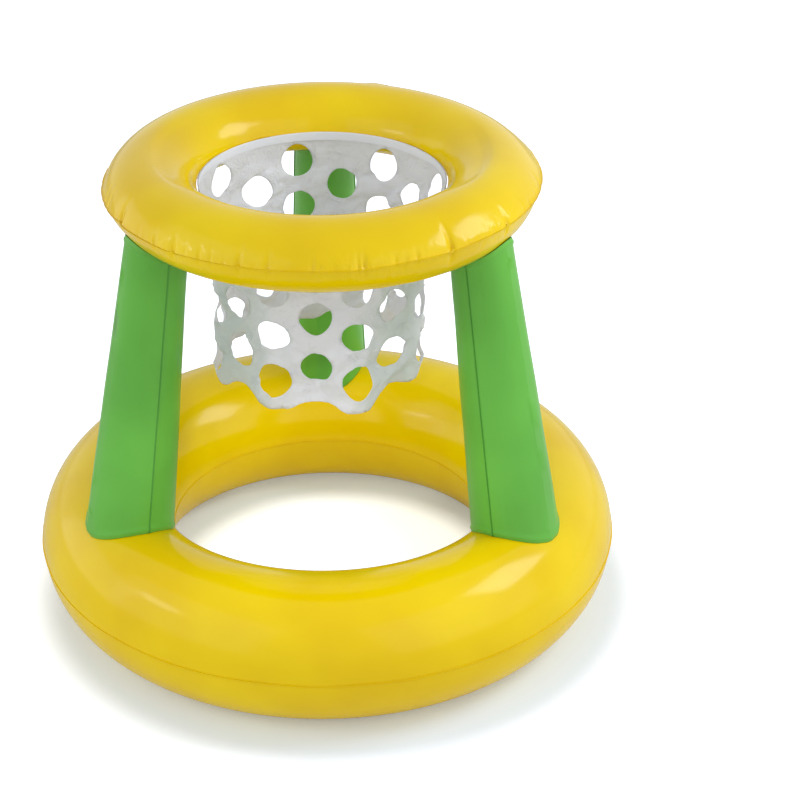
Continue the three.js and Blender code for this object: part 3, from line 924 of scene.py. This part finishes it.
def hang(flat):
    """The place round the hoop of a point of the flat strip."""
    down = flat.y + 1  # rows below the upper edge
    low = max(0.0, min(1.0, down / (ROWS + 1)))
    free = low * (1 - low * 0.25)  # how freely the sheet moves
    crowd = down * math.exp(1 - down)  # strongest one row down
    turn = FIRST_COLUMN + 2 * math.pi * flat.x / COLUMNS
    rear = max(0.0, math.sin(turn))
    turn -= TWIST * math.sin(turn)
    bunched = 0.35 + 0.65 * float(smooth_share(low, 0.35, 0.6))
    turn += BUNCH_SHIFT * near(turn, BUNCH_PLACE, BUNCH_WIDTH) * bunched
    spot = Vector((math.cos(turn), math.sin(turn), 0)) * HANG_RADIUS + Vector((0, 0, flat.y * ROW_PITCH))
    pull = noise.noise_vector(spot / PULL_SIZE + Vector((3.1, 7.7, 1.3)))
    wave = math.cos(math.pi * flat.x)
    lobe = math.tanh(LOBE_EDGE * wave) / math.tanh(LOBE_EDGE)
    shift = row_shift(flat.y, lobe) * max(0.0, -math.sin(turn))
    lift = LIFT * near(turn, LIFT_PLACE, LIFT_WIDTH) * low * low
    hem = max(0.0, flat.y - (ROWS - 1)) ** 2
    level = NET_TOP - down * ROW_PITCH - REAR_SAG * rear * crowd - hem * (HEM_DROP + SCALLOP * lobe)
    level += PULL * free * pull.y + shift + lift
    turn += PULL * free * pull.x / HANG_RADIUS
    depth = (NET_TOP - level) / NET_LENGTH
    slack = SLACK * free * noise.noise(spot / SLACK_SIZE + Vector((9.1, 2.2, 4.4)))
    reach = net_radius(level) + FOLD_DEPTH * drawn_in(level) * depth * wave + slack + crease_depth(spot, down)
    reach -= SIDE_PULL * math.cos(turn) ** 2 * crowd + HEM_PULL * low**4
    lean = LEAN * float(smooth_share(down, 0.3, 2.0)) * math.cos(turn) ** 2
    return Vector((reach * math.cos(turn) - lean, reach * math.sin(turn), level))


print("a point of the net's lower edge:", [round(c, 1) for c in hang(Vector((0, ROWS, 0)))])

# %% [markdown]
# The strip's ends are joined by counting its columns in a circle, and points that fall together along the
# cells' sides are merged. The sheet's area is measured while its faces are still single, because it has to
# match what was cut flat, and a Solidify modifier then makes a film of them.

# %% Hang the net
for v in net_bm.verts:
    v.co.x %= COLUMNS
bmesh.ops.remove_doubles(net_bm, verts=net_bm.verts, dist=1e-4)
for v in net_bm.verts:
    v.co = hang(v.co)
bmesh.ops.remove_doubles(net_bm, verts=net_bm.verts, dist=0.05)
bmesh.ops.recalc_face_normals(net_bm, faces=net_bm.faces)
net = piece_from("net_sheet", net_bm, net_vinyl, sharp=180)
cut_area = sum(p.area for p in net.data.polygons)
thicken(net)
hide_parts("net")
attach(net, "hoop")
print(f"net: {cut_area:.4f} square metres of sheet")

# %% [markdown]
# ## The collar
#
# The net's upper edge is welded to a stiffer white band, and the band to the ring's inner lip. It is a short
# tube with a rounded upper edge, spun from its section like everything round.

# %% Make the collar
COLLAR_INNER, COLLAR_OUTER = 133.6, 134.4
collar_bm = bmesh.new()
foot = NET_TOP - COLLAR_HEIGHT
lathe(
    collar_bm,
    [
        (COLLAR_INNER, foot),
        (COLLAR_OUTER, foot),
        (COLLAR_OUTER, NET_TOP - 1.0),
        (COLLAR_OUTER - 0.1, NET_TOP - 0.3),
        (COLLAR_OUTER - 0.4, NET_TOP),
        (COLLAR_INNER + 0.1, NET_TOP - 0.3),
        (COLLAR_INNER, NET_TOP - 1.0),
        (COLLAR_INNER, foot),
    ],
    segments=256,
)
collar = piece_from("collar_band", collar_bm, collar_vinyl)
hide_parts("net_collar")
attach(collar, "hoop")

# %% [markdown]
# ## The valves
#
# Each valve is four soft mouldings: a flange welded under the skin, a stem that slides in it, a plug on a
# strap, and a flap at the stem's inner end that shuts when the air pushes back. Their PVC is milky, half
# dull and very slightly cloudy, which one small noise gives, for the tint and for the bump.

# %% Soft PVC
PVC_CLOUD, PVC_BUMP = 6, 0.03  # mm
soft_pvc, pvc_tree, pvc_shader = new_material("moulded_soft_pvc")
pvc_cloud = noise_texture(pvc_tree, add_node(pvc_tree, "TexCoord").outputs["Object"], PVC_CLOUD, 2.0)
pvc_tint = mixed(pvc_tree, pvc_cloud, linear("F6F6F2"), linear("E9EAE4"))
pvc_tree.links.new(pvc_tint, pvc_shader.inputs["Base Color"])
pvc_tree.links.new(bumped(pvc_tree, pvc_cloud, PVC_BUMP), pvc_shader.inputs["Normal"])
pvc_shader.inputs["Roughness"].default_value = 0.34
pvc_shader.inputs["IOR"].default_value = VINYL_IOR
print("made", soft_pvc.name)

# %% [markdown]
# The mouldings are small lathe work, with a lug, a strap or a hinge added as a box. So each is written down
# as a profile of radius and height over the skin, and the two corners of its box. Every edge is rounded a
# little with a Bevel modifier, as a mould leaves it.

# %% Make the valves
ROUNDING = 0.15
VALVE_SHAPES = {
    "flange": (
        [(BORE, -3.9), (6.5, -3.9), (6.5, -1.6), (10, -1.6), (10, -0.6), (BORE, -0.6), (BORE, -3.9)],
        None,
    ),
    "stem": (
        [(3.4, -14.4), (6.5, -14.4), (6.5, -12.9), (4.75, -12.9), (4.75, 1.6), (3.4, 1.6), (3.4, -14.4)],
        ((-2, -8, 0.8), (2, -4.1, 1.6)),
    ),
    "plug": (
        [(0, -2.4), (2.2, -2.4), (3, 1.9), (5.5, 1.9), (5.5, 3.1), (0, 3.1)],
        ((-1.7, -8, 1.9), (1.7, -2, 3.1)),
    ),
    "flap": (
        [(0, -15.1), (4.4, -15.1), (4.4, -14.7), (0, -14.7)],
        ((-1.7, -5, -15.1), (1.7, -2, -14.7)),
    ),
}


def block(bm, low, high):
    """A box from one corner to the other."""
    low, high = Vector(low), Vector(high)
    matrix = Matrix.Translation((low + high) / 2) @ Matrix.Diagonal((*(high - low), 1))
    bmesh.ops.create_cube(bm, size=1, matrix=matrix)


def make_valve_part(ring, part):
    """One moulding of one valve, in place on its ring."""
    bm = bmesh.new()
    profile, corners = VALVE_SHAPES[part]
    lathe(bm, profile)
    if corners:
        block(bm, *corners)
    bmesh.ops.transform(bm, matrix=valve_frames[ring], verts=bm.verts)
    bmesh.ops.recalc_face_normals(bm, faces=bm.faces)
    piece = piece_from(f"{ring}_{part}_moulding", bm, soft_pvc, sharp=30)
    rounded = piece.modifiers.new("rounded", "BEVEL")
    rounded.width = ROUNDING * MM
    rounded.segments = 2
    rounded.limit_method = "ANGLE"
    apply_modifiers(piece)
    node = f"{ring}_valve_{part}"
    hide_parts(node)
    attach(piece, "hoop" if part == "flange" else node)


for ring in valve_frames:
    for part in VALVE_SHAPES:
        make_valve_part(ring, part)

# %% [markdown]
# ## Floor, light and background
#
# The hoop stands on white card in a white room. For every ray but the camera's the floor is plain card. The
# camera sees it as a bluish white that also glows, weakly under the base ring and strongly outside it and in
# its middle, so that the card goes white there and only a soft shadow is left along the ring. That glow paints
# where the shadow ends, and the blue tint is painted in to cancel the yellow light thrown by the rings.

# %% Floor
FLOOR_SIZE, FLOOR_LEVEL = 6000, -0.4
# the glow's centre is set a little right and forward, which places the painted shadow edge there
GLOW_CENTRE = (0.012, -0.012, 0)  # metres
GLOW_EDGES = (  # metres from the centre where a change of the glow starts and ends, and the glow there
    (0.32, 0.385, 0.1, 0.75),
    (0.165, 0.215, 0.7, 0.12),
)
floor_bm = bmesh.new()
bmesh.ops.create_grid(floor_bm, x_segments=1, y_segments=1, size=FLOOR_SIZE)
bmesh.ops.translate(floor_bm, verts=floor_bm.verts, vec=(0, 0, FLOOR_LEVEL))
white_card, card_tree, card_shader = new_material("white_studio_floor")
card_shader.inputs["Base Color"].default_value = linear("ECECEC")
card_shader.inputs["Roughness"].default_value = 0.9
card_place = add_node(card_tree, "TexCoord").outputs["Object"]
away = add_node(card_tree, "VectorMath", {0: card_place, 1: GLOW_CENTRE}, operation="DISTANCE")
outer_glow, inner_glow = (
    add_node(
        card_tree,
        "MapRange",
        {"Value": away.outputs["Value"], "From Min": start, "From Max": end, "To Min": low, "To Max": high},
        interpolation_type="SMOOTHSTEP",
    ).outputs["Result"]
    for start, end, low, high in GLOW_EDGES
)
glow_level = add_node(card_tree, "Math", {0: outer_glow, 1: inner_glow}, operation="ADD").outputs["Value"]
glow = add_node(card_tree, "Emission", {"Color": (1, 0.95, 0.88, 1), "Strength": glow_level})
# a painted blue cast that cancels the yellow light the rings throw on the card
blue_against_yellow_bounce = add_node(card_tree, "BsdfDiffuse", {"Color": (0.67, 0.79, 1.0, 1)})
both = add_node(card_tree, "AddShader", {0: blue_against_yellow_bounce.outputs["BSDF"], 1: glow.outputs["Emission"]})
seen = add_node(card_tree, "LightPath").outputs["Is Camera Ray"]
picked = add_node(
    card_tree, "MixShader", {0: seen, 1: card_shader.outputs["BSDF"], 2: both.outputs["Shader"]}
)
card_tree.links.new(picked.outputs["Shader"], card_tree.nodes["Material Output"].inputs["Surface"])
floor = piece_from("studio_floor", floor_bm, white_card)

# %% [markdown]
# The room is the same white all round. The camera, the reflections and the rays that pass through something
# see it at its full white. As light on the sheet it counts for less than half, to leave the lamps the rest.

# %% World
ROOM_LIGHT, ROOM_WHITE = 0.43, 1.0
world = bpy.data.worlds.new("white_room")
bpy.context.scene.world = world
world.use_nodes = True
room = world.node_tree
rays = add_node(room, "LightPath").outputs
seen = rays["Is Camera Ray"]
for kind in ("Is Glossy Ray", "Is Transmission Ray"):
    seen = add_node(room, "Math", {0: seen, 1: rays[kind]}, operation="MAXIMUM").outputs["Value"]
strength = add_node(room, "MapRange", {"Value": seen, "To Min": ROOM_LIGHT, "To Max": ROOM_WHITE})
room.nodes["Background"].inputs["Color"].default_value = (1, 1, 1, 1)
room.links.new(strength.outputs["Result"], room.nodes["Background"].inputs["Strength"])
print("world made")

# %% [markdown]
# Glossy sheet shows the lamps themselves, so they stand where their reflections lie on the real hoop. A
# large softbox on the right is the bright window in the rings, and a dimmer one and a narrow strip are on
# the left. Two very large ones, left and right of the front, fill the shapes. None of them reaches the rear
# inner wall of the base ring, under the net, so one flat oval spot is aimed there from low in front. It is
# hidden from reflections.

# %% Lamps
AIM = Vector((0, 0, 0.28))
SOFTBOXES = (  # name, degrees round from the front, degrees up, metres away, size in metres, watts
    ("right_softbox", 92, 40, 2.3, (1.05, 0.85), 18),
    ("left_softbox", -100, 12, 2.4, (2.0, 1.2), 6.5),
    ("left_strip", -68, 27, 2.4, (0.7, 0.22), 2.6),
    ("front_right_softbox", 55, 26, 3.0, (3.6, 2.6), 23),
    ("front_left_softbox", -55, 26, 3.0, (3.6, 2.6), 23),
)
SPOT_AIM, SPOT_ELEVATION, SPOT_DISTANCE = Vector((0, 0.17, 0.075)), 22, 3.0  # degrees, and metres
SPOT_HALF_WIDTH, SPOT_HALF_HEIGHT = 0.36, 0.16


def place_lamp(lamp, aim, direction, elevation, distance, widen=1.0):
    """Stands a lamp away from what it looks at, degrees round from the front and degrees up."""
    turn, rise = math.radians(direction), math.radians(elevation)
    away = Vector((math.sin(turn) * math.cos(rise), -math.cos(turn) * math.cos(rise), math.sin(rise)))
    facing = away.to_track_quat("Z", "Y").to_matrix().to_4x4()
    holder = bpy.data.objects.new(lamp.name, lamp)
    stand = Matrix.Translation(aim + away * distance) @ facing
    holder.matrix_world = stand @ Matrix.Diagonal((widen, 1, 1, 1))
    bpy.context.scene.collection.objects.link(holder)
    return holder


for name, direction, elevation, distance, size, power in SOFTBOXES:
    lamp = bpy.data.lights.new(name, "AREA")
    lamp.shape = "RECTANGLE"
    lamp.size, lamp.size_y = size
    lamp.energy = power
    place_lamp(lamp, AIM, direction, elevation, distance)

spot = bpy.data.lights.new("rear_wall_spot", "SPOT")
spot.spot_size = 2 * math.atan(SPOT_HALF_HEIGHT / SPOT_DISTANCE)
spot.spot_blend = 1.0
spot.shadow_soft_size = 0.1
spot.energy = 90
widen = SPOT_HALF_WIDTH / SPOT_HALF_HEIGHT
place_lamp(spot, SPOT_AIM, 0, SPOT_ELEVATION, SPOT_DISTANCE, widen).visible_glossy = False
print("lamps:", len(SOFTBOXES) + 1)

# %% [markdown]
# ## Finish
#
# The Standard view shows each colour as it was written.

# %% View
bpy.context.scene.view_settings.view_transform = "Standard"
